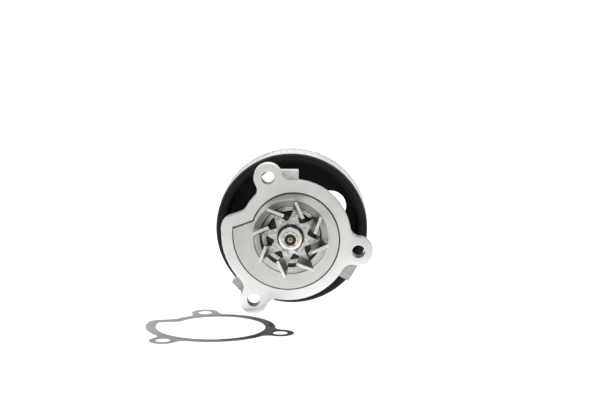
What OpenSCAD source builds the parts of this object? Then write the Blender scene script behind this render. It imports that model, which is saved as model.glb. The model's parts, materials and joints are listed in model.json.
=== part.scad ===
// Engine coolant pump: die-cast housing, stamped impeller, integral-shaft bearing, face seal,
// multi-rib pulley and loose flange gasket.
// Every sub-part is drawn with the shaft along local Z, the engine side at +Z, then stood upright,
// so that in the finished part the shaft lies along Y and the flange faces -Y.

/* [Housing] */
// Thickness of the mounting flange
flange_t = 9; // [7:0.5:12]
// Width of the flange band around the volute
band_w = 8.7; // [7:0.1:10]
// Height of the volute plateau above the mounting face
plateau_h = 3; // [2:0.5:5]
// Radius of the volute plateau where it starts, at the cutwater
volute_r = 28; // [27:0.5:30]
// Growth of the volute's radius for each degree
volute_rate = 0.035; // [0.02:0.005:0.04]
// Radius of the three mounting lugs
lug_r = 10; // [9:0.5:12]
// Diameter of the bolt holes
bolt_d = 9; // [8:0.1:10]
// Radius of the bearing boss
boss_r = 21; // [19:0.5:22]

/* [Impeller] */
// Number of folded blades
blades = 8; // [6:1:10]
// Length of a blade's front edge
blade_front_len = 12.7; // [11:0.1:13]
// Height of the blades in front of the plate
blade_h = 10; // [6:0.5:11]
// Thickness of the impeller's sheet
sheet_t = 2; // [1.5:0.1:2.5]

/* [Shaft and bearing] */
// Diameter of the shaft in the bearing
shaft_d = 16; // [14:0.5:16]
// Diameter of the shaft's nose in the impeller
nose_d = 11; // [10:0.5:12]
// Outer diameter of the bearing
bearing_d = 30; // [30:1:32]
// Length of the bearing
bearing_len = 34; // [32:1:36]
// Number of bearing balls
ball_count = 8; // [6:1:8]
// Number of bearing rollers
roller_count = 10; // [8:1:12]

/* [Pulley] */
// Diameter over the pulley's lips
pulley_d = 107.2; // [100:0.2:110]
// Distance from the mounting face to the pulley's near edge
pulley_gap = 30; // [26:0.5:32]
// Width of the pulley's rim
pulley_w = 27.5; // [24:0.5:30]
// Number of V grooves
grooves = 6; // [4:1:6]
// Diameter of the windows in the web
window_d = 22.4; // [18:0.2:23]

/* [Gasket] */
// Thickness of the gasket
gasket_t = 0.6; // [0.4:0.1:1]
// Turn of the loose gasket on the floor
gasket_turn = -8.7; // [-20:0.1:20]

/* [Hidden] */
$fn = 96;
eps = 0.01;

// volute and flange outline
volute_start = 157;
volute_turn = 347;
volute_step = 6;
cutwater = [-40, 5.6];
seam_w = 0.5;
seam_depth = 0.6;
seam_corner = [-0.8, 0.6];
blend_r = 7;
// each lug: angle from +X, distance of its hole from the axis
lugs = [[111, 44.1], [-12.7, 48.5], [-119.7, 52.4]];
lug_back = 2.5;
lug_back_r = lug_r - 0.8;
// each as-cast pad: direction, distance of its outer face, half width, offset to one side
pads = [[90, 45.4, 7.5, -2.2], [-30, 51.3, 7.7, 0.5], [224, 53.5, 5.5, -1.1]];
pad_front = -5.5;
pad_t = 9;
pad_len = 24;
// cone and ribs that join the bearing boss to the flange
cone_h = 12;
cone_flare = 9;
rib_t = 5;
rib_from = 10;
rib_run = 20;
rib_drop = 24;

// depths along the shaft, measured from the mounting face
pocket_r = 26;
pocket_z = 1;
well_r = 21.6;
well_z = -6.2;
seal_r = 18.25;
seal_floor = -16;
bearing_front = -17;
bearing_rear = bearing_front - bearing_len;
boss_rear = bearing_rear + 1;
throat_r = 10.5;
weep_z = -16.5;
weep_d = 5;
shaft_r = shaft_d / 2;
bearing_r = bearing_d / 2;

// impeller
plate_front = 3;
plate_back = plate_front - sheet_t;
blade_first = 36.7;
blade_slant = 33;
blade_lean = 2.6;
collar_r = 8.2;
collar_front = 11.2;
collar_foot_r = 3;
blade_rake = 3.7;
blade_foot = 8.6;
disc_r = 13.4;
arm_tip_r = 22.6;
arm_edge = 10;
arm_slant = 15;
notch_r = 1.7;
notch_at = 13.6;
notch_turn = -25;
nose_front = 13.4;
nose_chamfer = 1.4;
center_d = 2.6;
center_deep = 2;

// shaft behind the impeller, and its far end
neck_r = 6.5;
neck_step = 2.5;
shaft_end = bearing_rear - 9.5;
shaft_chamfer = 0.6;

// rolling elements
pitch_r = shaft_r + 2.03;
ball_r = 3;
roller_r = 2;
roller_len = 9;
race_gap = 0.03;
groove_r = ball_r + 0.08;
race_r = pitch_r + roller_r + race_gap;
ball_z = bearing_front - 9;
roller_z = bearing_front - 23.5;
cage_in = pitch_r - 1.4;
cage_out = pitch_r + 1.4;
pocket_gap = 0.08;
lip_seal_t = 1.6;
lip_seal_in = 0.4;
ball_cage_span = [-2.6, 4.4];
roller_cage_span = [-6.5, 6.5];

// face seal: case, bellows, carbon ring and mating ring
case_floor = seal_floor + 1;
case_bore = 10.6;
case_wall = 17.2;
case_flange_r = 20.4;
case_flange_z = well_z + 1;
bellows_in = 9.2;
bellows_out = 17;
bellows_front = -6.2;
convolution = 1;
carbon_out = 15.4;
carbon_back = -6.1;
carbon_step = -3.2;
face_in = 10.4;
face_out = 13;
face_z = -1.9;
drive_ring = [15.5, 16.4, -8.4, -4.4];
mating_r = 14;
mating_bore = 8.3;
mating_back = -1.86;
mating_front = 0.3;
cup_t = 0.9;
cup_back = -1;

// pulley
pulley_r = pulley_d / 2;
rim_near = -pulley_gap;
rim_far = rim_near - pulley_w;
rim_in = pulley_r - 6.4;
rib_r = pulley_r - 1.1;
groove_pitch = 3.56;
groove_depth = 2.9;
web_t = 3;
web_near = -51.8;
window_at = 30;
windows = 4;
window_first = 24.4;
hub_r = 13;
hub_near = bearing_rear - 0.6;
hub_len = 10;
bend_r = 5;
collar_t = 2.5;
lip_w = 2.4;
lip_step = [0.6, 2.6];
lip_recess = [1.4, 1];
vee_half = [1.45, 0.5, 1.75];

// gasket on the floor
floor_z = lugs[2][1] * sin(lugs[2][0]) - lug_r;
gasket_at = [-50.8, -40];
gasket_hole_d = 10;
gasket_gap = 1.2;
gasket_inset = 0.6;

function polar(r, a) = [r * cos(a), r * sin(a)];
function volute_radius(t, extra) = volute_r + volute_rate * t + extra;
function lug_point(i) = polar(lugs[i][1], lugs[i][0]);

// stands a sub-part drawn along local Z upright: local +Z becomes -Y, local Y becomes +Z
module upright() {
    rotate([90, 0, 0]) children();
}

module tube(r_out, r_in, z_low, z_high) {
    translate([0, 0, z_low]) difference() {
        cylinder(r = r_out, h = z_high - z_low);
        translate([0, 0, -1]) cylinder(r = r_in, h = z_high - z_low + 2);
    }
}

module rod(r, z_low, z_high) {
    translate([0, 0, z_low]) cylinder(r = r, h = z_high - z_low);
}

// snail outline of the volute, grown outwards by extra
module volute(extra = 0) {
    corner = cutwater + extra * seam_corner;
    polygon(concat(
        [for (t = [0 : volute_step : volute_turn])
            polar(volute_radius(t, extra), volute_start - t)],
        [corner]));
}

// outline of the flange, with its lugs blended in
module flange_outline(grow = 0) {
    offset(r = -blend_r) offset(r = blend_r) {
        offset(r = band_w + grow) volute();
        for (i = [0 : 2]) translate(lug_point(i)) circle(r = lug_r + grow);
        for (i = [0 : 2]) hull() {
            translate(lug_point(i)) circle(r = lug_r + grow - 1.5);
            translate(lug_point(i) * 0.6) circle(r = lug_r + grow - 1.5);
        }
    }
}

// rib from the boss to a lug, behind the flange
module rib(lug) {
    reach = lug[1] - lug_r + 1;
    rotate([0, 0, lug[0]]) translate([0, 0, -flange_t]) rotate([90, 0, 0])
        translate([0, 0, -rib_t / 2]) linear_extrude(rib_t)
        polygon([[rib_from, 1], [reach, 1], [reach, -1], [rib_run, -rib_drop], [rib_from, -rib_drop]]);
}

module pump_body() {
    color("gainsboro") upright() difference() {
        union() {
            translate([0, 0, -flange_t]) linear_extrude(flange_t) flange_outline();
            translate([0, 0, -seam_depth - eps]) linear_extrude(plateau_h + seam_depth + eps) volute();
            for (i = [0 : 2]) translate(lug_point(i)) rod(lug_back_r, -flange_t - lug_back, -1);
            for (p = pads) rotate([0, 0, p[0]]) translate([p[1] - pad_len, -p[3] - p[2], pad_front - pad_t])
                cube([pad_len, 2 * p[2], pad_t]);
            rod(boss_r, boss_rear, -1);
            translate([0, 0, -flange_t - cone_h]) cylinder(r1 = boss_r, r2 = boss_r + cone_flare, h = cone_h);
            for (i = [0 : 2]) rib(lugs[i]);
        }
        translate([0, 0, -seam_depth]) linear_extrude(seam_depth + 1) difference() {
            volute(seam_w);
            volute();
        }
        rod(pocket_r, pocket_z, plateau_h + 1);
        rod(well_r, well_z, plateau_h + 1);
        rod(seal_r, seal_floor, 0);
        rod(throat_r, bearing_front - 1, 0);
        rod(bearing_r, boss_rear - 1, bearing_front);
        for (i = [0 : 2]) translate(lug_point(i)) rod(bolt_d / 2, -flange_t - pad_t, plateau_h + 1);
        translate([0, 0, weep_z]) rotate([90, 0, 0]) cylinder(d = weep_d, h = 2 * boss_r);
    }
}

// one arm of the star in the plane of the plate
module arm(a) {
    tip = polar(arm_tip_r, a);
    polygon([tip, tip + polar(arm_edge, a + 180 + blade_slant), [0, 0],
        tip + polar(arm_edge, a + 180 - arm_slant)]);
}

// one blade: a sheet that stands on the arm's edge and leans outwards
module blade(a) {
    tip = polar(arm_tip_r, a);
    lean = atan(blade_lean / blade_h);
    translate([tip[0], tip[1], plate_back]) rotate([0, 0, a + 180 + blade_slant]) rotate([90 - lean, 0, 0])
        linear_extrude(sheet_t) polygon([[0, 0], [blade_foot, 0],
            [blade_front_len - blade_rake, blade_h + sheet_t], [-blade_rake, blade_h + sheet_t]]);
}

module impeller() {
    color("silver") upright() difference() {
        union() {
            difference() {
                translate([0, 0, plate_back]) linear_extrude(sheet_t) union() {
                    circle(r = disc_r);
                    for (i = [0 : blades - 1]) arm(blade_first + i * 360 / blades);
                }
                for (i = [0 : blades - 1]) rotate([0, 0, blade_first + notch_turn + i * 360 / blades])
                    translate([notch_at, 0, 0]) rod(notch_r, plate_back - 1, plate_front + 1);
            }
            for (i = [0 : blades - 1]) blade(blade_first + i * 360 / blades);
            rod(collar_r, plate_back, collar_front);
            rotate_extrude() difference() {
                translate([0, plate_front - eps]) square([collar_r + collar_foot_r, collar_foot_r]);
                translate([collar_r + collar_foot_r, plate_front + collar_foot_r]) circle(r = collar_foot_r);
            }
        }
        rod(nose_d / 2, plate_back - 1, collar_front + 1);
    }
}

module shaft() {
    color("dimgray") upright() difference() {
        rotate_extrude() polygon([[0, shaft_end], [shaft_r - shaft_chamfer, shaft_end],
            [shaft_r, shaft_end + shaft_chamfer], [shaft_r, bearing_front + neck_step - 0.5],
            [neck_r, bearing_front + neck_step], [neck_r, plate_back], [nose_d / 2, plate_back],
            [nose_d / 2, nose_front - nose_chamfer], [nose_d / 2 - nose_chamfer, nose_front],
            [0, nose_front]]);
        rotate_extrude() translate([pitch_r, ball_z]) circle(r = groove_r);
        translate([0, 0, nose_front - center_deep])
            cylinder(d1 = center_d / 4, d2 = center_d, h = center_deep + eps);
    }
}

module bearing_outer_ring() {
    color("lightsteelblue") upright() difference() {
        tube(bearing_r, race_r, bearing_rear, bearing_front);
        rotate_extrude() translate([pitch_r, ball_z]) circle(r = groove_r);
    }
}

module bearing_balls() {
    color("silver") upright() for (i = [0 : ball_count - 1]) rotate([0, 0, i * 360 / ball_count])
        translate([pitch_r, 0, ball_z]) sphere(r = ball_r);
}

module ball_cage() {
    color("tan") upright() difference() {
        tube(cage_out, cage_in, ball_z + ball_cage_span[0], ball_z + ball_cage_span[1]);
        for (i = [0 : ball_count - 1]) rotate([0, 0, i * 360 / ball_count])
            translate([pitch_r, 0, ball_z]) sphere(r = ball_r + pocket_gap);
    }
}

module bearing_rollers() {
    color("silver") upright() for (i = [0 : roller_count - 1]) rotate([0, 0, i * 360 / roller_count])
        translate([pitch_r, 0, 0]) rod(roller_r, roller_z - roller_len / 2, roller_z + roller_len / 2);
}

module roller_cage() {
    color("tan") upright() difference() {
        tube(cage_out, cage_in, roller_z + roller_cage_span[0], roller_z + roller_cage_span[1]);
        for (i = [0 : roller_count - 1]) rotate([0, 0, i * 360 / roller_count])
            translate([pitch_r, 0, 0]) rod(roller_r + pocket_gap, roller_z - roller_len / 2 - pocket_gap,
                roller_z + roller_len / 2 + pocket_gap);
    }
}

module bearing_lip_seal(z_low) {
    color("black") upright() tube(race_r, shaft_r + 0.06, z_low, z_low + lip_seal_t);
}

module bearing_seal_front() {
    bearing_lip_seal(bearing_front - lip_seal_t - lip_seal_in);
}

module bearing_seal_rear() {
    bearing_lip_seal(bearing_rear + lip_seal_in);
}

module seal_case() {
    color("silver") upright() rotate_extrude() polygon([[case_bore, seal_floor], [seal_r, seal_floor],
        [seal_r, well_z], [case_flange_r, well_z], [case_flange_r, case_flange_z],
        [case_wall, case_flange_z], [case_wall, case_floor], [case_bore, case_floor]]);
}

module seal_bellows() {
    thick = 1.2;
    outer = bellows_in + 1.8;
    fold = 2.1;
    color("black") upright() rotate_extrude() polygon([[bellows_in + 0.4, case_floor],
        [bellows_out, case_floor], [bellows_out, case_floor + thick],
        [outer + convolution, case_floor + thick],
        [outer, case_floor + thick + fold], [outer + convolution, case_floor + thick + 2 * fold],
        [outer, bellows_front - thick], [carbon_out, bellows_front - thick], [carbon_out, bellows_front],
        [bellows_in, bellows_front], [bellows_in, bellows_front - thick],
        [bellows_in + convolution, case_floor + thick + 2 * fold], [bellows_in, case_floor + thick + fold],
        [bellows_in + convolution, case_floor + thick + 0.2], [bellows_in + 0.4, case_floor + thick]]);
}

// helical compression spring, a swept ring of wire
module seal_spring() {
    wire_r = 0.8;
    coil_r = 14;
    turns = 3;
    per_turn = 20;
    sides = 8;
    z_low = case_floor + 1.3 + wire_r;
    z_high = bellows_front - 1.3 - wire_r;
    rings = turns * per_turn;
    points = [for (i = [0 : rings]) for (j = [0 : sides - 1])
        let (a = i * 360 / per_turn, b = j * 360 / sides, r = coil_r + wire_r * cos(b))
        [r * cos(a), r * sin(a), z_low + (z_high - z_low) * i / rings + wire_r * sin(b)]];
    walls = [for (i = [0 : rings - 1]) for (j = [0 : sides - 1])
        let (p = i * sides + j, q = i * sides + (j + 1) % sides) [p, p + sides, q + sides, q]];
    ends = [[for (j = [0 : sides - 1]) j], [for (j = [sides - 1 : -1 : 0]) rings * sides + j]];
    color("silver") upright() polyhedron(points, concat(walls, ends));
}

module seal_drive_ring() {
    color("silver") upright() tube(drive_ring[1], drive_ring[0], drive_ring[2], drive_ring[3]);
}

module seal_carbon_ring() {
    color("black") upright() rotate_extrude() polygon([[bellows_in, carbon_back], [carbon_out, carbon_back],
        [carbon_out, carbon_step], [face_out, carbon_step], [face_out, face_z], [face_in, face_z],
        [face_in, carbon_step], [bellows_in, carbon_step]]);
}

module seal_mating_ring() {
    color("gray") upright() tube(mating_r, mating_bore, mating_back, mating_front);
}

module seal_mating_cup() {
    color("black") upright() rotate_extrude() polygon([[neck_r, mating_back + 0.26],
        [mating_bore - 0.1, mating_back + 0.26], [mating_bore - 0.1, mating_front + 0.1],
        [mating_r + 0.1, mating_front + 0.1],
        [mating_r + 0.1, cup_back], [mating_r + 0.1 + cup_t, cup_back],
        [mating_r + 0.1 + cup_t, plate_back], [neck_r, plate_back]]);
}

module pulley_hub() {
    color("dimgray") upright() difference() {
        union() {
            rod(hub_r, hub_near - hub_len, hub_near);
            rod(hub_r + collar_t, web_near, hub_near);
        }
        rod(shaft_r, hub_near - hub_len - 1, hub_near + 1);
    }
}

// profile of the pulley's wall: web, bend, rim with V grooves and two lips
module pulley_profile() {
    first = rim_near - (pulley_w - (grooves - 1) * groove_pitch) / 2;
    difference() {
        union() {
            translate([hub_r, web_near - web_t]) square([rim_in - hub_r + 2, web_t]);
            translate([hub_r, web_near - web_t - 2]) square([collar_t, web_t + 2]);
            translate([rim_in, rim_far]) square([pulley_r - rim_in, pulley_w]);
            translate([rim_in - bend_r, web_near - eps]) square([bend_r + eps, bend_r]);
        }
        translate([rim_in - bend_r, web_near + bend_r]) circle(r = bend_r);
        translate([rim_in - 1, rim_near - lip_recess[0]]) square([lip_recess[1] + 1, 2]);
        translate([rim_in - 1, rim_near - lip_step[0]]) square([lip_step[1] + 1, 2]);
        translate([rib_r, rim_far + lip_w]) square([5, pulley_w - 2 * lip_w]);
        for (i = [0 : grooves - 1]) translate([rib_r, first - i * groove_pitch])
            polygon([[1, -vee_half[2]], [0, -vee_half[0]], [-groove_depth, -vee_half[1]],
                [-groove_depth, vee_half[1]], [0, vee_half[0]], [1, vee_half[2]]]);
    }
}

module pulley() {
    color([0.08, 0.08, 0.08]) upright() difference() {
        rotate_extrude() pulley_profile();
        for (i = [0 : windows - 1]) rotate([0, 0, window_first + i * 360 / windows])
            translate([window_at, 0, 0]) rod(window_d / 2, web_near - web_t - 2, web_near + 2);
    }
}

// the gasket copies the flange's outline and lies flat on the floor
module gasket() {
    color("gray") translate([gasket_at[0], gasket_at[1], floor_z]) rotate([0, 0, gasket_turn])
        linear_extrude(gasket_t) difference() {
            flange_outline(-gasket_inset);
            volute(gasket_gap);
            for (i = [0 : 2]) translate(lug_point(i)) circle(d = gasket_hole_d);
        }
}

pump_body();
impeller();
shaft();
bearing_outer_ring();
bearing_balls();
ball_cage();
bearing_rollers();
roller_cage();
bearing_seal_front();
bearing_seal_rear();
seal_case();
seal_bellows();
seal_spring();
seal_drive_ring();
seal_carbon_ring();
seal_mating_ring();
seal_mating_cup();
pulley_hub();
pulley();
gasket();
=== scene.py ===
# Engine coolant pump: materials, rounded and detailed pieces, studio light and camera,
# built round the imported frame.
import json
import math
import bmesh
import bpy
from mathutils import Matrix, Vector


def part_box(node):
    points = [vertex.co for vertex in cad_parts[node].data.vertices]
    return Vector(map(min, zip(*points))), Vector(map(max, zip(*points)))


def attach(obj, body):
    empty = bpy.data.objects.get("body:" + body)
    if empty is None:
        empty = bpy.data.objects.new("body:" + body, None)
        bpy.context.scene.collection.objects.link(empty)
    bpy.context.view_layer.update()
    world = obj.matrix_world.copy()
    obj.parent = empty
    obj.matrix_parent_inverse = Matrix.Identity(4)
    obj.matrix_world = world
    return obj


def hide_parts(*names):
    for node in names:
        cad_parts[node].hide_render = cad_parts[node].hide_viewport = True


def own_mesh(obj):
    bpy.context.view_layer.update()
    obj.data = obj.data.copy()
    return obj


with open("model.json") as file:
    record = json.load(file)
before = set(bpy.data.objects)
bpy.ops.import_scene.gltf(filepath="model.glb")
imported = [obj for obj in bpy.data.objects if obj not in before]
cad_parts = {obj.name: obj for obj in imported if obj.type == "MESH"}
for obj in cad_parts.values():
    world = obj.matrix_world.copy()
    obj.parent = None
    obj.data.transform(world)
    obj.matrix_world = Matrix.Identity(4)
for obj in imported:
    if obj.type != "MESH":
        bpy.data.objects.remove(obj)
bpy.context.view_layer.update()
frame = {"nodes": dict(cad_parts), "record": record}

MM = 0.001
NODES = frame["nodes"]
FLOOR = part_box("gasket")[0].z

# outline of the raised volute, in mm and degrees
VOLUTE_R = 28
VOLUTE_RATE = 0.035
VOLUTE_START = 157
VOLUTE_TURN = 347

# painted shade just outside the raised volute: its colour, its width in mm, where in that width it fades
# out, and how much narrower it gets per metre of height
SEAM_SHADE = (0.10, 0.10, 0.09)
SEAM_SHADE_W = 2
SEAM_SHADE_ENDS = (0.42, 0.56)
SEAM_SHADE_SLOPE = 0.011

# turned metal: scales of its patches and speckle, tones of its rings and speckle, depths in metres
PATCH_SCALE = 45
SPECKLE_SCALE = 1300
RING_DRIFT = 0.04
RING_TONE = (0.72, 0.72, 0.71)
RING_ENDS = (0.38, 0.56)
RING_DEPTH = 0.00004
SPECKLE_TONE = (0.80, 0.80, 0.79)
SPECKLE_ENDS = (0.32, 0.55)
SPECKLE_DEPTH = 0.00002
SPECKLE_BUMP = 0.25
GRAIN_BUMP = 0.35
WHITE = (1, 1, 1)


# ---------------------------------------------------------------- materials

def grey(level):
    return (level, level, level)


def shader_of(mat):
    return mat.node_tree.nodes["Principled BSDF"]


def set_base(mat, color):
    mat.node_tree.links.new(color, shader_of(mat).inputs["Base Color"])


def new_material(name, color, metallic, roughness):
    mat = bpy.data.materials.new(name)
    mat.use_nodes = True
    shader = shader_of(mat)
    shader.inputs["Base Color"].default_value = (*color, 1)
    shader.inputs["Metallic"].default_value = metallic
    shader.inputs["Roughness"].default_value = roughness
    return mat, mat.node_tree, shader


def noise(tree, scale, detail=4):
    coord = tree.nodes.new("ShaderNodeTexCoord")
    tex = tree.nodes.new("ShaderNodeTexNoise")
    tex.inputs["Scale"].default_value = scale
    tex.inputs["Detail"].default_value = detail
    tree.links.new(coord.outputs["Object"], tex.inputs["Vector"])
    return tex


def ramp(tree, source, low, high, start=0.3, end=0.7):
    node = tree.nodes.new("ShaderNodeValToRGB")
    node.color_ramp.elements[0].position = start
    node.color_ramp.elements[0].color = (*low, 1)
    node.color_ramp.elements[1].position = end
    node.color_ramp.elements[1].color = (*high, 1)
    tree.links.new(source, node.inputs["Fac"])
    return node.outputs["Color"]


def spread(tree, source, low, high):
    node = tree.nodes.new("ShaderNodeMapRange")
    node.inputs["To Min"].default_value = low
    node.inputs["To Max"].default_value = high
    tree.links.new(source, node.inputs["Value"])
    return node.outputs["Result"]


def bump(tree, shader, source, strength, distance):
    node = tree.nodes.new("ShaderNodeBump")
    node.inputs["Strength"].default_value = strength
    node.inputs["Distance"].default_value = distance
    tree.links.new(source, node.inputs["Height"])
    if shader.inputs["Normal"].links:
        tree.links.new(shader.inputs["Normal"].links[0].from_socket, node.inputs["Normal"])
    tree.links.new(node.outputs["Normal"], shader.inputs["Normal"])


def mottled(name, low, high, metallic, rough_low, rough_high, scale, grain, grain_depth):
    """A material with blotchy colour, uneven gloss and a fine grain."""
    mat, tree, shader = new_material(name, high, metallic, rough_high)
    blotch = noise(tree, scale)
    tree.links.new(ramp(tree, blotch.outputs["Fac"], low, high), shader.inputs["Base Color"])
    tree.links.new(spread(tree, blotch.outputs["Fac"], rough_low, rough_high), shader.inputs["Roughness"])
    fine = noise(tree, grain, 2)
    bump(tree, shader, fine.outputs["Fac"], GRAIN_BUMP, grain_depth)
    return mat


def multiply(tree, one, two, share):
    node = tree.nodes.new("ShaderNodeMix")
    node.data_type = "RGBA"
    node.blend_type = "MULTIPLY"
    node.inputs["Factor"].default_value = share
    tree.links.new(one, node.inputs["A"])
    tree.links.new(two, node.inputs["B"])
    return node.outputs["Result"]


def axis_radius(tree):
    """Distance from the shaft's axis, in metres, and the way out from it."""
    coord = tree.nodes.new("ShaderNodeTexCoord")
    flat = tree.nodes.new("ShaderNodeVectorMath")
    flat.operation = "MULTIPLY"
    flat.inputs[1].default_value = (1, 0, 1)
    tree.links.new(coord.outputs["Object"], flat.inputs[0])
    length = tree.nodes.new("ShaderNodeVectorMath")
    length.operation = "LENGTH"
    tree.links.new(flat.outputs["Vector"], length.inputs[0])
    return length.outputs["Value"], flat.outputs["Vector"]


def by_radius(tree, stops):
    """A colour for each distance from the shaft's axis, given as (mm, colour) pairs."""
    far = stops[-1][0]
    near, _ = axis_radius(tree)
    scaled = tree.nodes.new("ShaderNodeMapRange")
    scaled.inputs["From Max"].default_value = far * MM
    tree.links.new(near, scaled.inputs["Value"])
    node = tree.nodes.new("ShaderNodeValToRGB")
    marks = node.color_ramp.elements
    while len(marks) < len(stops):
        marks.new(1)
    for mark, (mm, color) in zip(marks, stops):
        mark.position = mm / far
        mark.color = (*color, 1)
    tree.links.new(scaled.outputs["Result"], node.inputs["Fac"])
    return node.outputs["Color"]


def math_node(tree, operation, one, two, three=None):
    node = tree.nodes.new("ShaderNodeMath")
    node.operation = operation
    for socket, value in zip(node.inputs, (one, two, three)):
        if isinstance(value, (int, float)):
            socket.default_value = value
        elif value is not None:
            tree.links.new(value, socket)
    return node.outputs["Value"]


def seam_shade(tree):
    """Painted shade just outside the raised volute's outline, wider towards the bottom, and white elsewhere.
    """
    near, flat = axis_radius(tree)
    parts = tree.nodes.new("ShaderNodeSeparateXYZ")
    tree.links.new(flat, parts.inputs["Vector"])
    angle = math_node(tree, "ARCTAN2", parts.outputs["Z"], parts.outputs["X"])
    walked = math_node(tree, "SUBTRACT", math.radians(VOLUTE_START), angle)
    walked = math_node(tree, "WRAP", walked, 2 * math.pi, 0)
    edge = math_node(tree, "MULTIPLY_ADD", walked, math.degrees(VOLUTE_RATE) * MM, VOLUTE_R * MM)
    gap = math_node(tree, "SUBTRACT", near, edge)
    gap = math_node(tree, "ADD", gap, math_node(tree, "MULTIPLY", parts.outputs["Z"], SEAM_SHADE_SLOPE))
    past = math_node(tree, "GREATER_THAN", walked, math.radians(VOLUTE_TURN))
    gap = math_node(tree, "ADD", gap, past)
    span = tree.nodes.new("ShaderNodeMapRange")
    span.inputs["From Max"].default_value = SEAM_SHADE_W * MM
    tree.links.new(gap, span.inputs["Value"])
    return ramp(tree, span.outputs["Result"], SEAM_SHADE, WHITE, *SEAM_SHADE_ENDS)


def toned(mat, tone):
    """Multiplies a material's colour by another one."""
    base = shader_of(mat).inputs["Base Color"].links[0].from_socket
    set_base(mat, multiply(mat.node_tree, base, tone, 1))


def across(tree, direction, start, end, low, high):
    """A colour that changes steadily along a direction, between two distances in metres."""
    coord = tree.nodes.new("ShaderNodeTexCoord")
    along = tree.nodes.new("ShaderNodeVectorMath")
    along.operation = "DOT_PRODUCT"
    along.inputs[1].default_value = direction
    tree.links.new(coord.outputs["Object"], along.inputs[0])
    span = tree.nodes.new("ShaderNodeMapRange")
    span.inputs["From Min"].default_value = start
    span.inputs["From Max"].default_value = end
    tree.links.new(along.outputs["Value"], span.inputs["Value"])
    return ramp(tree, span.outputs["Result"], low, high, 0, 1)


def radial(tree, scale, drift_share):
    """Noise that runs in rings round the shaft's axis, as a turning tool leaves."""
    near, flat = axis_radius(tree)
    drift = tree.nodes.new("ShaderNodeVectorMath")
    drift.operation = "SCALE"
    drift.inputs["Scale"].default_value = drift_share
    tree.links.new(flat, drift.inputs[0])
    ring = tree.nodes.new("ShaderNodeCombineXYZ")
    tree.links.new(near, ring.inputs["Y"])
    total = tree.nodes.new("ShaderNodeVectorMath")
    tree.links.new(drift.outputs["Vector"], total.inputs[0])
    tree.links.new(ring.outputs["Vector"], total.inputs[1])
    tex = tree.nodes.new("ShaderNodeTexNoise")
    tex.inputs["Scale"].default_value = scale
    tex.inputs["Detail"].default_value = 3
    tree.links.new(total.outputs["Vector"], tex.inputs["Vector"])
    return tex


def turned(name, low, high, rough_low, rough_high, rings, ring_share, speckle):
    """Machined metal: soft patches, rings round the shaft and a fine speckle."""
    mat, tree, shader = new_material(name, high, 1, rough_high)
    patch = noise(tree, PATCH_SCALE, 3)
    base = ramp(tree, patch.outputs["Fac"], low, high, 0.35, 0.65)
    ring = radial(tree, rings, RING_DRIFT)
    ring_tone = ramp(tree, ring.outputs["Fac"], RING_TONE, WHITE, *RING_ENDS)
    grain = noise(tree, SPECKLE_SCALE, 2)
    grain_tone = ramp(tree, grain.outputs["Fac"], SPECKLE_TONE, WHITE, *SPECKLE_ENDS)
    color = multiply(tree, multiply(tree, base, ring_tone, ring_share), grain_tone, speckle)
    tree.links.new(color, shader.inputs["Base Color"])
    tree.links.new(spread(tree, patch.outputs["Fac"], rough_low, rough_high), shader.inputs["Roughness"])
    bump(tree, shader, ring.outputs["Fac"], ring_share, RING_DEPTH)
    bump(tree, shader, grain.outputs["Fac"], SPECKLE_BUMP, SPECKLE_DEPTH)
    return mat


MACHINED = turned("machined aluminium", (0.79, 0.797, 0.785), (0.88, 0.887, 0.877), 0.26, 0.34,
                  1500, 0.08, 0.15)
# the flange takes painted shade along the foot of the raised volute
toned(MACHINED, seam_shade(MACHINED.node_tree))
PLATEAU = turned("plateau aluminium", (0.66, 0.67, 0.655), (0.77, 0.78, 0.77), 0.36, 0.46, 900, 0.22, 0.80)
# the plateau's upper part is painted darker, a painted reflection of the dim room
toned(PLATEAU, across(PLATEAU.node_tree, (-0.15, 0, 0.99), 0.025, 0.0285, WHITE, (0.55, 0.55, 0.545)))
BORED = turned("bored aluminium", (0.60, 0.605, 0.59), (0.86, 0.865, 0.85), 0.26, 0.36, 1100, 0.85, 0.35)
# the bore is painted lighter in its lower half than above, as painted light and shade
toned(BORED, across(BORED.node_tree, (0, 0, 1), -0.018, 0.012, WHITE, (0.52, 0.52, 0.51)))
# bored aluminium painted near black, as painted shade deep in the well behind the impeller and in the groove
# along the volute's foot
WELL_SHADE = turned("bored aluminium in painted shade", (0.10, 0.10, 0.095), (0.20, 0.20, 0.195), 0.30, 0.42, 1100, 0.60, 0.35)
CAST = mottled("cast aluminium", (0.64, 0.64, 0.60), (0.90, 0.90, 0.86), 1, 0.46, 0.62, 330, 1300, 0.00022)
# cast faces are painted lighter high up than low down, as painted light on the upper casting pads
toned(CAST, across(CAST.node_tree, (0, 0, 1), 0.02, 0.045, grey(0.62), WHITE))

STAMPED = mottled("stamped steel", (0.40, 0.41, 0.385), (0.86, 0.875, 0.84), 1, 0.24, 0.38,
                  420, 2000, 0.00005)
PLATE_OUTER_SHADE = (0.62, 0.62, 0.615)
# the impeller is painted lighter round the collar and darker further out, as painted light and shade
toned(STAMPED, by_radius(STAMPED.node_tree, [(0, WHITE), (14.2, WHITE), (16.5, PLATE_OUTER_SHADE), (26, PLATE_OUTER_SHADE)]))
SHEARED = mottled("sheared edge steel", (0.74, 0.75, 0.73), (0.92, 0.92, 0.90), 1, 0.18, 0.28,
                  420, 2000, 0.00004)
# collar steel painted near black, as painted shade on the collar's side and foot
COLLAR_SIDE_SHADE = mottled("collar steel in painted shade", (0.06, 0.06, 0.055), (0.13, 0.13, 0.12), 1, 0.28, 0.40,
                      420, 2000, 0.00004)
COLLAR_END = turned("turned collar steel", (0.70, 0.71, 0.69), (0.86, 0.87, 0.85), 0.22, 0.32,
                    1500, 0.35, 0.25)

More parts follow.
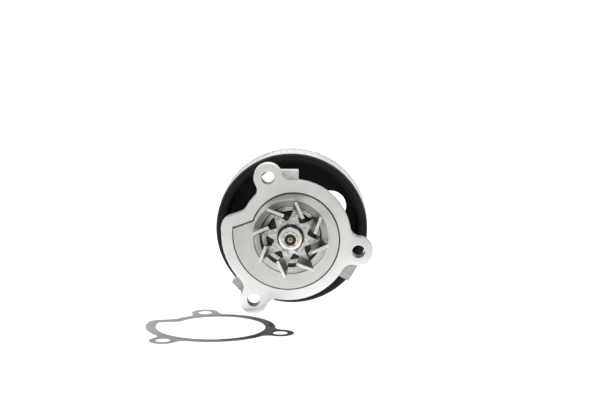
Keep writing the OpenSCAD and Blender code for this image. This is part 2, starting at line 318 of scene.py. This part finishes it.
SHAFT = mottled("ground shaft steel", (0.60, 0.59, 0.57), (0.78, 0.77, 0.75), 1, 0.20, 0.32,
                200, 2600, 0.00002)
NOSE = mottled("brown shaft end", (0.10, 0.065, 0.04), (0.20, 0.14, 0.09), 1, 0.34, 0.46,
               700, 2600, 0.00004)
# the shaft end's brown is the steel's own, while the dark middle of the centre drill is painted shade and
# the near-white ring at its rim is a painted highlight
set_base(NOSE, by_radius(NOSE.node_tree, [
    (0, (0.02, 0.015, 0.01)), (0.45, (0.03, 0.02, 0.014)), (0.6, (0.95, 0.84, 0.70)),
    (1.3, (0.90, 0.76, 0.62)), (1.8, (0.045, 0.030, 0.014)), (3.3, (0.068, 0.052, 0.026)),
    (4.2, (0.024, 0.019, 0.010)),
]))

POLISHED = mottled("polished bearing steel", (0.62, 0.63, 0.65), (0.74, 0.75, 0.77), 1, 0.10, 0.18,
                   200, 2600, 0.000008)
NYLON = mottled("cage polyamide", (0.50, 0.39, 0.22), (0.62, 0.50, 0.32), 0, 0.45, 0.55,
                300, 1800, 0.00003)
SEAL_STEEL = mottled("pressed seal steel", (0.40, 0.40, 0.38), (0.66, 0.66, 0.64), 1, 0.14, 0.22,
                     260, 2600, 0.00001)
# seal steel painted near black, as painted shade on the drive ring deep behind the impeller
SEAL_STEEL_SHADE = mottled("seal steel in painted shade", (0.05, 0.05, 0.048), (0.10, 0.10, 0.096), 1, 0.30, 0.42,
                    260, 2600, 0.00001)
RUBBER = mottled("seal rubber", grey(0.012), (0.028, 0.028, 0.027), 0, 0.55, 0.70, 260, 1800, 0.00004)
CARBON = mottled("seal carbon", (0.02, 0.02, 0.022), (0.05, 0.05, 0.052), 0, 0.30, 0.42,
                 260, 2400, 0.00001)
CERAMIC = mottled("seal ceramic", (0.20, 0.21, 0.23), (0.30, 0.31, 0.33), 0, 0.16, 0.24,
                  260, 2400, 0.000005)

BLACK = mottled("black pulley coating", grey(0.0025), (0.006, 0.006, 0.0055), 0, 0.42, 0.56,
                90, 1500, 0.00004)
shader_of(BLACK).inputs["Specular IOR Level"].default_value = 0.22
set_base(BLACK, by_radius(BLACK.node_tree, [
    (0, grey(0.0035)), (48.8, grey(0.004)), (49.2, grey(0.012)), (50.9, grey(0.014)),
    (51.2, grey(0.006)), (52.2, grey(0.008)), (52.6, (0.045, 0.045, 0.043)), (54, (0.055, 0.055, 0.053)),
]))
# the belt track is painted near white as a painted highlight, the glare of the top light on the black coat,
# with its groove floors painted darker as painted shade
BELT_TRACK_GLARE = turned("belt track in painted glare", grey(0.93), grey(0.98), 0.20, 0.28, 1500, 0.10, 0.05)
toned(BELT_TRACK_GLARE, by_radius(BELT_TRACK_GLARE.node_tree, [(0, grey(0.3)), (50, grey(0.3)), (51.6, WHITE), (54, WHITE)]))

GASKET = mottled("gasket steel", (0.27, 0.275, 0.275), (0.38, 0.385, 0.385), 1, 0.09, 0.13,
                 70, 2400, 0.000004)
# the gasket's light-to-dark sweep is a painted reflection, in both its colour and its sheen
GASKET_REFLECTION_SWEEP = ((-0.9, 0.45, 0), -0.06, 0.10)
painted_sheen = across(GASKET.node_tree, *GASKET_REFLECTION_SWEEP, grey(0.30), WHITE)
GASKET.node_tree.links.new(painted_sheen, shader_of(GASKET).inputs["Specular Tint"])
toned(GASKET, across(GASKET.node_tree, *GASKET_REFLECTION_SWEEP, grey(0.35), WHITE))

# the finish of each node that has only one
LOOKS = {
    "bearing_outer_ring": POLISHED, "bearing_balls": POLISHED, "ball_cage": NYLON,
    "bearing_rollers": POLISHED, "roller_cage": NYLON, "bearing_seal_front": RUBBER,
    "bearing_seal_rear": RUBBER, "seal_case": SEAL_STEEL, "seal_bellows": RUBBER,
    "seal_spring": SEAL_STEEL, "seal_drive_ring": SEAL_STEEL_SHADE, "seal_carbon_ring": CARBON,
    "seal_mating_ring": CERAMIC, "seal_mating_cup": RUBBER, "pulley_hub": SHAFT, "gasket": GASKET,
}
BOLTS = [m for m in frame["record"]["mounts"] if m["name"].startswith("bolt_hole")]
BODY_OF = {n: b for b, ns in frame["record"]["behaviour"]["bodies"].items() for n in ns}


# ---------------------------------------------------------------- pieces

# an edge is shaded smooth under the first angle and rounded over the second, in degrees
SMOOTH_UNDER = 35
ROUND_OVER = 30


def smooth_by_angle(obj):
    for p in obj.data.polygons:
        p.use_smooth = True
    bm = bmesh.new()
    bm.from_mesh(obj.data)
    limit = math.radians(SMOOTH_UNDER)
    for e in bm.edges:
        e.smooth = len(e.link_faces) == 2 and e.calc_face_angle(0) < limit
    bm.to_mesh(obj.data)
    bm.free()


def apply_modifiers(obj):
    graph = bpy.context.evaluated_depsgraph_get()
    mesh = bpy.data.meshes.new_from_object(obj.evaluated_get(graph))
    obj.modifiers.clear()
    obj.data = mesh


# where a node's finish changes: distances from the shaft's axis (_R) and along it, in mm
WELL_R = 21.8
WELL_FRONT = -0.9
POCKET_R = 26.3
POCKET_RIM_R = 26
POCKET_END = 17
PLATEAU_RIM = -2.9
PLATEAU_FOOT = -0.2
GROOVE = (0.02, 0.7)
GROOVE_FLOOR = 0.5
FACE_END = 0.25
BEARING_R = 15.2
NEAR_BOLT = 6
COLLAR_ZONE_R = 12
BLADE_EDGE = 12.4
COLLAR_ROOT = 3.4
NOSE_R = 4.1
NOSE_END = -13.35
CENTRE_DRILL_R = 1.4
TRACK_R = 49.5
TRACK = (32.45, 57.4)


def radius(p):
    return math.hypot(p.x, p.z) / MM


def near_bolt(p):
    return any(math.hypot(p.x - m["pos_m"][0], p.z - m["pos_m"][2]) < NEAR_BOLT * MM for m in BOLTS)


def housing_look(p, n):
    r, depth = radius(p), p.y / MM
    flat = n.y < -0.9
    # deep in the well the bore takes painted shade
    if r < WELL_R and WELL_FRONT < depth < POCKET_END:
        return WELL_SHADE
    if r < POCKET_R and depth < POCKET_END and not (depth < PLATEAU_RIM and flat and r > POCKET_RIM_R):
        return BORED
    if depth < PLATEAU_FOOT:
        return PLATEAU
    inward = -(p.x * n.x + p.z * n.z) / p.xz.length
    in_groove = GROOVE[0] < depth < GROOVE[1] and (inward > 0.2 or depth > GROOVE_FLOOR and flat)
    # the groove along the volute's foot takes painted shade, except by the bolts
    if in_groove and not near_bolt(p):
        return WELL_SHADE
    if depth < FACE_END and n.y < -0.5:
        return MACHINED
    return BORED if r < BEARING_R else CAST


def impeller_look(p, n):
    height = -p.y / MM
    if radius(p) > COLLAR_ZONE_R:
        return SHEARED if height > BLADE_EDGE and n.y < -0.5 else STAMPED
    if height > COLLAR_FRONT - CROWN_T - 0.05:
        return COLLAR_END
    # the collar's side and foot take painted shade
    return COLLAR_SIDE_SHADE if height > COLLAR_ROOT else STAMPED


def shaft_look(p, n):
    front = p.y / MM < NOSE_END and radius(p) < NOSE_R
    return NOSE if front or radius(p) < CENTRE_DRILL_R else SHAFT


def pulley_look(p, n):
    # the belt track takes the painted glare
    return BELT_TRACK_GLARE if radius(p) > TRACK_R and TRACK[0] < p.y / MM < TRACK[1] else BLACK


# nodes whose finish changes from face to face
PAINT = {"pump_body": housing_look, "impeller": impeller_look, "shaft": shaft_look, "pulley": pulley_look}


def finish_piece(obj, node):
    mesh = obj.data
    mesh.materials.clear()
    if node in PAINT:
        for p in mesh.polygons:
            look = PAINT[node](p.center, p.normal)
            if look.name not in mesh.materials:
                mesh.materials.append(look)
            p.material_index = mesh.materials.find(look.name)
    else:
        mesh.materials.append(LOOKS[node])
        for p in mesh.polygons:
            p.material_index = 0
    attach(obj, BODY_OF[node])
    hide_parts(node)


def new_object(name, mesh):
    obj = bpy.data.objects.new(name, mesh)
    bpy.context.scene.collection.objects.link(obj)
    return obj


def rounded(obj, edge, degrees):
    """Rounds the edges sharper than an angle by so many mm, and weights the normals."""
    if edge:
        mod = obj.modifiers.new("edges", "BEVEL")
        mod.width = edge * MM
        mod.segments = 2
        mod.limit_method = "ANGLE"
        mod.angle_limit = math.radians(degrees)
        mod.use_clamp_overlap = False
        apply_modifiers(obj)
    smooth_by_angle(obj)
    mod = obj.modifiers.new("normals", "WEIGHTED_NORMAL")
    mod.keep_sharp = True
    apply_modifiers(obj)


def refined(node, edge):
    """A copy of a CAD node with its flat faces cleaned and its edges rounded."""
    bm = bmesh.new()
    bm.from_mesh(NODES[node].data)
    bmesh.ops.remove_doubles(bm, verts=bm.verts, dist=2e-6)
    bmesh.ops.dissolve_limit(bm, angle_limit=math.radians(0.5), verts=bm.verts, edges=bm.edges)
    bmesh.ops.triangulate(bm, faces=bm.faces)
    mesh = bpy.data.meshes.new(node + "_detail")
    bm.to_mesh(mesh)
    bm.free()
    if "custom_normal" in mesh.attributes:
        mesh.attributes.remove(mesh.attributes["custom_normal"])
    obj = new_object(node + "_detail", mesh)
    rounded(obj, edge, ROUND_OVER)
    finish_piece(obj, node)
    return obj


def polar(r, degrees):
    return Vector((math.cos(math.radians(degrees)), math.sin(math.radians(degrees)))) * r


def upright(x, y, z):
    """A point drawn with the shaft along z, in mm, as a point in the row frame."""
    return (x * MM, -z * MM, y * MM)


def new_piece(name, bm, edge, degrees=ROUND_OVER):
    bmesh.ops.recalc_face_normals(bm, faces=bm.faces)
    mesh = bpy.data.meshes.new(name)
    bm.to_mesh(mesh)
    bm.free()
    obj = new_object(name, mesh)
    rounded(obj, edge, degrees)
    return obj


# impeller, in mm: a star plate with relief notches, eight blades folded forward and a welded collar
BLADES = 8
BLADE_FIRST = 36.7
SHEET = 2
PLATE_BACK = 1
PLATE_FRONT = PLATE_BACK + SHEET
DISC_R = 13.4
BORE_R = 5.5
ARM_TIP_R = 22.6
FOLD_TURN = 213
FREE_TURN = 165
NOTCH_R = 1.7
NOTCH_AT = 13.6
NOTCH_TURN = -25
BEND_IN = 1
BEND_OUT = BEND_IN + SHEET
BLADE_TALL = 12
BLADE_LEAN = math.atan(2.6 / 10)
BLADE_FOOT = 8.6
BLADE_HEEL = 9
BLADE_RAKE = 3.7
COLLAR_R = 8.2
COLLAR_FRONT = 11.2
COLLAR_FOOT = 3
COLLAR_SUNK = 1
CROWN_W = 2.5
CROWN_T = 1.2
ROOT_SUNK = 0.3
ROOT_LONG = 0.8
PLATE_OVERLAP = 0.25
NOTCH_STEPS = 14
BORE_SIDES = 48
BEND_STEPS = 8
RISE_STEPS = 3

fold_x = polar(1, FOLD_TURN)
fold_n = polar(1, FOLD_TURN + 90)
tip = Vector((ARM_TIP_R, 0))
setback = BEND_OUT * (1 - math.sin(BLADE_LEAN)) / math.cos(BLADE_LEAN)


def arm_outline():
    """One eighth of the star's outline, going round: notch, folded edge, free edge."""
    notch = polar(NOTCH_AT, NOTCH_TURN)
    half = math.degrees(math.acos((DISC_R ** 2 + NOTCH_AT ** 2 - NOTCH_R ** 2) / (2 * DISC_R * NOTCH_AT)))
    first = polar(DISC_R, NOTCH_TURN - half)
    rel = notch - tip
    nx, nn = rel.dot(fold_x), rel.dot(fold_n)
    edge = setback - PLATE_OVERLAP
    last = tip + (nx - math.sqrt(NOTCH_R ** 2 - (nn + edge) ** 2)) * fold_x - edge * fold_n
    a0 = math.atan2(first.y - notch.y, first.x - notch.x)
    a1 = math.atan2(last.y - notch.y, last.x - notch.x)
    if a1 > a0:
        a1 -= 2 * math.pi
    points = [notch + NOTCH_R * Vector((math.cos(a), math.sin(a)))
              for a in [a0 + (a1 - a0) * i / NOTCH_STEPS for i in range(NOTCH_STEPS + 1)]]
    free = polar(1, FREE_TURN)
    slope = free.dot(fold_x) / -free.dot(fold_n)
    points.append(tip + edge * slope * fold_x - edge * fold_n)
    b = tip.dot(free)
    points.append(tip + (-b - math.sqrt(b * b - ARM_TIP_R ** 2 + DISC_R ** 2)) * free)
    return points, slope


def turned_by(p, degrees):
    c, s = math.cos(math.radians(degrees)), math.sin(math.radians(degrees))
    return Vector((p.x * c - p.y * s, p.x * s + p.y * c))


def star_plate(bm):
    eighth, slope = arm_outline()
    outline = [turned_by(p, BLADE_FIRST + k * 360 / BLADES) for k in range(BLADES) for p in eighth]
    bore = [polar(BORE_R, k * 360 / BORE_SIDES) for k in range(BORE_SIDES)]
    loops = []
    for points in (outline, bore):
        ring = [bm.verts.new(upright(p.x, p.y, PLATE_BACK)) for p in points]
        loops += [bm.edges.new((ring[i], ring[(i + 1) % len(ring)])) for i in range(len(ring))]
    filled = bmesh.ops.triangle_fill(bm, edges=loops, use_beauty=True)
    faces = [f for f in filled["geom"] if isinstance(f, bmesh.types.BMFace)]
    pushed = bmesh.ops.extrude_face_region(bm, geom=faces)
    moved = [v for v in pushed["geom"] if isinstance(v, bmesh.types.BMVert)]
    bmesh.ops.translate(bm, verts=moved, vec=(0, -SHEET * MM, 0))
    return slope


def folded_blade(bm, a, slope):
    """A sheet that leaves the plate, bends round, stands leaning outwards and ends level."""
    stations = []
    bend_turn = math.pi / 2 - BLADE_LEAN
    for i in range(-1, BEND_STEPS + 1):
        t = bend_turn * max(i, 0) / BEND_STEPS
        back = -ROOT_LONG if i < 0 else 0
        sunk = ROOT_SUNK if i < 0 else 0
        outer = (-setback + back + BEND_OUT * math.sin(t),
                 PLATE_FRONT + BEND_IN - BEND_OUT * math.cos(t) + sunk)
        inner = (-setback + back + BEND_IN * math.sin(t),
                 PLATE_FRONT + BEND_IN - BEND_IN * math.cos(t) - sunk)
        tall = (outer[1] - PLATE_BACK) / math.cos(BLADE_LEAN)
        heel = BLADE_FOOT + (BLADE_HEEL - BLADE_FOOT) * tall / BLADE_TALL
        stations.append((outer, inner, -slope * outer[0], heel))
    lean = (math.sin(BLADE_LEAN), math.cos(BLADE_LEAN))
    (on, oz), (sn, sz), start, heel = stations[-1]
    tall0 = (oz - PLATE_BACK) / math.cos(BLADE_LEAN)
    for i in range(1, RISE_STEPS + 1):
        run = (BLADE_TALL - tall0) * i / RISE_STEPS
        share = i / RISE_STEPS
        level = (sz - oz) / lean[1] if i == RISE_STEPS else 0
        outer = (on + lean[0] * (run + level), oz + lean[1] * (run + level))
        inner = (sn + lean[0] * run, sz + lean[1] * run)
        stations.append((outer, inner, start + (-BLADE_RAKE - start) * share,
                         heel + (BLADE_HEEL - heel) * share))
    rings = []
    for outer, inner, x0, x1 in stations:
        ring = []
        for (n, z), x in ((outer, x0), (outer, x1), (inner, x1), (inner, x0)):
            p = turned_by(tip + x * fold_x + n * fold_n, a)
            ring.append(bm.verts.new(upright(p.x, p.y, z)))
        rings.append(ring)
    for low, high in zip(rings, rings[1:]):
        for i in range(4):
            bm.faces.new((low[i], low[(i + 1) % 4], high[(i + 1) % 4], high[i]))
    bm.faces.new(rings[0])
    bm.faces.new(reversed(rings[-1]))


def lathe(bm, profile, sides=96):
    """Turns a closed (radius, z) profile, in mm, round the shaft's axis."""
    rings = []
    for k in range(sides):
        a = 2 * math.pi * k / sides
        rings.append([bm.verts.new(upright(r * math.cos(a), r * math.sin(a), z)) for r, z in profile])
    for k in range(sides):
        one, two = rings[k], rings[(k + 1) % sides]
        for i in range(len(profile)):
            j = (i + 1) % len(profile)
            bm.faces.new((one[i], one[j], two[j], two[i]))


def build_impeller():
    parts = []
    bm = bmesh.new()
    slope = star_plate(bm)
    parts.append(new_piece("impeller_plate", bm, 0.2))
    bm = bmesh.new()
    for k in range(BLADES):
        folded_blade(bm, BLADE_FIRST + k * 360 / BLADES, slope)
    parts.append(new_piece("impeller_blades", bm, 0.2, 40))
    quarter = [math.pi / 2 * i / BEND_STEPS for i in range(BEND_STEPS + 1)]
    foot = [(COLLAR_R + COLLAR_FOOT * (1 - math.sin(t)), PLATE_FRONT + COLLAR_FOOT * (1 - math.cos(t)))
            for t in quarter]
    crown = [(COLLAR_R - CROWN_W * (1 - math.cos(t)), COLLAR_FRONT - CROWN_T * (1 - math.sin(t)))
             for t in quarter]
    root = [(BORE_R, PLATE_FRONT - COLLAR_SUNK), (COLLAR_R + COLLAR_FOOT, PLATE_FRONT - COLLAR_SUNK)]
    bm = bmesh.new()
    lathe(bm, root + foot + crown + [(BORE_R, COLLAR_FRONT)])
    parts.append(new_piece("impeller_collar", bm, 0.3))
    for part in parts:
        finish_piece(part, "impeller")


build_impeller()


# gasket, in mm: a thin sheet with an embossed bead that runs round the opening
CUTWATER = (-40, 5.6)
GASKET_AT = (-50.8, -40)
GASKET_TURN = -8.7
SHEET_T = 0.32
GASKET_T = 0.6
GASKET_EDGE = 0.05
BEAD_AT = 4.6
BEAD_W = 2.2
BEAD_SUNK = 0.04
BEAD_FOOT = 0.1
BEAD_STATIONS = 240
BEAD_ROUNDS = 6
BEAD_STEPS = 6
OUTLINE_STEP = 3


def smooth_ring(points, rounds):
    """Evens a closed ring of points, so that an offset copy of a cornered outline runs round softly."""
    for _ in range(rounds):
        points = [(points[i - 1] + 2 * p + points[(i + 1) % len(points)]) / 4
                  for i, p in enumerate(points)]
    return points


def resampled(points, count):
    lengths = [(points[(i + 1) % len(points)] - points[i]).length for i in range(len(points))]
    total, out, i, walked = sum(lengths), [], 0, 0
    for k in range(count):
        goal = total * k / count
        while walked + lengths[i] < goal:
            walked += lengths[i]
            i += 1
        out.append(points[i].lerp(points[(i + 1) % len(points)], (goal - walked) / lengths[i]))
    return out


def side_of(points, i):
    """The direction square to a closed ring of points at one of them."""
    along = (points[(i + 1) % len(points)] - points[i - 1]).normalized()
    return Vector((-along.y, along.x))


def laid(p):
    """A point of the flange's outline, in mm, where it is on the loose gasket."""
    return turned_by(p, GASKET_TURN) + Vector(GASKET_AT)


def build_gasket():
    sheet = refined("gasket", GASKET_EDGE)
    for v in sheet.data.vertices:
        v.co.z = FLOOR + (v.co.z - FLOOR) * SHEET_T / GASKET_T
    inner = [polar(VOLUTE_R + VOLUTE_RATE * t, VOLUTE_START - t)
             for t in range(0, VOLUTE_TURN + 1, OUTLINE_STEP)]
    inner.append(Vector(CUTWATER))
    ring = resampled(inner, BEAD_STATIONS)
    path = smooth_ring([p + BEAD_AT * side_of(ring, i) for i, p in enumerate(ring)], BEAD_ROUNDS)
    bm = bmesh.new()
    rows = []
    for i, p in enumerate(path):
        side = side_of(path, i)
        row = []
        for k in range(BEAD_STEPS + 1):
            t = k / BEAD_STEPS
            q = laid(p + side * BEAD_W * (t - 0.5))
            rise = SHEET_T - BEAD_SUNK + (GASKET_T - SHEET_T) * math.sin(math.pi * t)
            row.append(bm.verts.new((q.x * MM, q.y * MM, FLOOR + rise * MM)))
        for q in (laid(p + side * BEAD_W / 2), laid(p - side * BEAD_W / 2)):
            row.append(bm.verts.new((q.x * MM, q.y * MM, FLOOR + BEAD_FOOT * MM)))
        rows.append(row)
    for i in range(len(rows)):
        one, two = rows[i], rows[(i + 1) % len(rows)]
        for k in range(len(one)):
            j = (k + 1) % len(one)
            bm.faces.new((one[k], one[j], two[j], two[k]))
    finish_piece(new_piece("gasket_bead", bm, 0), "gasket")


# how much each node's edges are rounded, in mm
EDGES = {
    "pump_body": 0.35, "shaft": 0.1, "bearing_outer_ring": 0.3, "bearing_balls": 0,
    "ball_cage": 0.15, "bearing_rollers": 0.2, "roller_cage": 0.15, "bearing_seal_front": 0.15,
    "bearing_seal_rear": 0.15, "seal_case": 0.25, "seal_bellows": 0.2, "seal_spring": 0,
    "seal_drive_ring": 0.1, "seal_carbon_ring": 0.15, "seal_mating_ring": 0.15,
    "seal_mating_cup": 0.2, "pulley_hub": 0.4, "pulley": 0.15,
}
for node, edge in EDGES.items():
    refined(node, edge)
build_gasket()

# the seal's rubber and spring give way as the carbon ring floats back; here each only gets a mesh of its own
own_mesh(bpy.data.objects["seal_bellows_detail"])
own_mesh(bpy.data.objects["seal_spring_detail"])


# ---------------------------------------------------------------- studio

# sizes and places in metres
TOP_LIGHT_AT = (0, 0.25, 1.1)
TOP_LIGHT_SIZE = (0.9, 0.6)
TOP_LIGHT_WATTS = 4
FLOOR_HALF = 6
FLOOR_GAP = 0.0002
FLOOR_GLOW = 0.98
CARD_HALF = 0.5
CARD_SCALE = (2.4, 0.7, 1)
CARD_AT = (0, -0.17, FLOOR + 0.35)
CARD_GLOW = (0.68, 0.685, 0.655)
ROOM_FRONT = (0.1, -0.83, 0.55)
ROOM_BRIGHT = grey(1.06)
ROOM_DIM = (0.30, 0.295, 0.28)
ROOM_ENDS = (0.45, 0.92)


def area_light(name, place, aim, size, watts):
    data = bpy.data.lights.new(name, "AREA")
    data.shape = "RECTANGLE"
    data.size, data.size_y = size
    data.energy = watts
    obj = new_object(name, data)
    obj.location = place
    obj.rotation_euler = (Vector(aim) - Vector(place)).to_track_quat("-Z", "Y").to_euler()


def glowing(name, color, roughness, glow, strength):
    """A matt material that gives its own light."""
    mat, _, shader = new_material(name, color, 0, roughness)
    shader.inputs["Specular IOR Level"].default_value = 0
    shader.inputs["Emission Color"].default_value = (*glow, 1)
    shader.inputs["Emission Strength"].default_value = strength
    return mat


def stage_sheet(name, half, mat):
    bm = bmesh.new()
    bmesh.ops.create_grid(bm, x_segments=1, y_segments=1, size=half)
    mesh = bpy.data.meshes.new(name)
    bm.to_mesh(mesh)
    bm.free()
    mesh.materials.append(mat)
    obj = new_object(name, mesh)
    return obj


# a white room that is dim in front of the pump and above
world = bpy.data.worlds.new("studio")
bpy.context.scene.world = world
world.use_nodes = True
tree = world.node_tree
coord = tree.nodes.new("ShaderNodeTexCoord")
facing = tree.nodes.new("ShaderNodeVectorMath")
facing.operation = "DOT_PRODUCT"
facing.inputs[1].default_value = ROOM_FRONT
tree.links.new(coord.outputs["Generated"], facing.inputs[0])
room = ramp(tree, facing.outputs["Value"], ROOM_BRIGHT, ROOM_DIM, *ROOM_ENDS)
tree.links.new(room, tree.nodes["Background"].inputs["Color"])
tree.nodes["Background"].inputs["Strength"].default_value = 1

area_light("top softbox", TOP_LIGHT_AT, (0, 0, 0), TOP_LIGHT_SIZE, TOP_LIGHT_WATTS)
floor = stage_sheet("floor", FLOOR_HALF, glowing("white floor", grey(0.34), 0.9, WHITE, FLOOR_GLOW))
floor.location.z = FLOOR - FLOOR_GAP

# a grey card in front of the pump, which shows only in reflections
card = stage_sheet("front_card", CARD_HALF, glowing("grey card", grey(0), 1, CARD_GLOW, 1))
card.rotation_euler = (math.pi / 2, 0, 0)
card.scale = CARD_SCALE
card.location = CARD_AT
card.visible_camera = False
card.visible_shadow = False
card.visible_diffuse = False

# the camera looks along +Y, a little down, as a long lens does: FRAME_W is in pixels, SCALE in pixels
# per metre at the pump, SENSOR in mm, and the other lengths in metres
FRAME_W = 600
SCALE = 1435
SENSOR = 36
DISTANCE = 1.6
TILT = math.radians(10)
YAW = math.radians(1.2)
SIDE = 0.0065
LIFT = 0.0254
camera = bpy.data.cameras.new("camera")
camera.sensor_width = SENSOR
camera.lens = SENSOR * SCALE * DISTANCE / FRAME_W
camera.clip_end = 50
turn = Matrix.Rotation(YAW, 3, "Z")
forward = turn @ Vector((0, math.cos(TILT), -math.sin(TILT)))
upward = turn @ Vector((0, math.sin(TILT), math.cos(TILT)))
sideways = turn @ Vector((1, 0, 0))
eye = new_object("camera", camera)
eye.location = -DISTANCE * forward + SIDE * sideways + LIFT * upward
eye.rotation_euler = (math.pi / 2 - TILT, 0, YAW)
bpy.context.scene.camera = eye
bpy.context.scene.view_settings.view_transform = "Standard"
